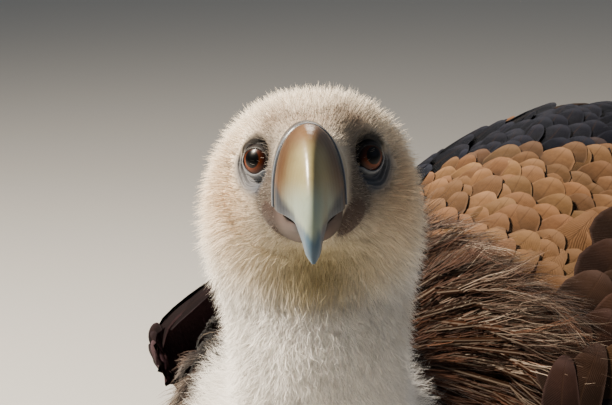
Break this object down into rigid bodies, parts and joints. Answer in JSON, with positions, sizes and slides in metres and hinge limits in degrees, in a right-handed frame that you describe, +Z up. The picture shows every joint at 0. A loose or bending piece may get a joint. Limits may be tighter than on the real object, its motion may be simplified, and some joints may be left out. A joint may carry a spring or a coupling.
{
  "type": "griffon vulture",
  "caption": "Life-size griffon vulture, standing with folded wings, a hooked bill, a downy head and neck, and a ruff of long feathers.",
  "frame": {"origin": "on the floor under the middle of the bird's bounding box", "axes": "+Z up, the bird faces -Y with its tail towards +Y, and its left side is +X"},
  "size_m": [0.338, 0.8956, 0.6074],
  "materials": {
    "down": "soft down",
    "ruff_feather": "long narrow feathers with pale shafts",
    "brown_feather": "brown feathers with pale tips",
    "dark_feather": "dark flight feathers",
    "horn": "smooth horn",
    "cere_skin": "bare dark skin",
    "leg_skin": "scaled grey skin",
    "claw_horn": "dark horn",
    "eye": "wet and glossy"
  },
  "bodies": {
    "root": {"head": "down", "neck_upper": "down", "neck_lower": "down", "ruff": "ruff_feather", "cere": "cere_skin", "bill_upper": "horn", "bill_lower": "horn", "eye_left": "eye", "wing_left_coverts": "brown_feather", "wing_left_secondaries": "dark_feather", "wing_left_primaries": "dark_feather", "foot_left": "leg_skin", "claw_left_middle": "claw_horn", "claw_left_inner": "claw_horn", "claw_left_outer": "claw_horn", "claw_left_hind": "claw_horn", "shank_left": "leg_skin", "thigh_left": "brown_feather", "eye_right": "eye", "wing_right_coverts": "brown_feather", "wing_right_secondaries": "dark_feather", "wing_right_primaries": "dark_feather", "foot_right": "leg_skin", "claw_right_middle": "claw_horn", "claw_right_inner": "claw_horn", "claw_right_outer": "claw_horn", "claw_right_hind": "claw_horn", "shank_right": "leg_skin", "thigh_right": "brown_feather", "tail": "dark_feather", "trunk": "brown_feather"}
  },
  "joints": []
}
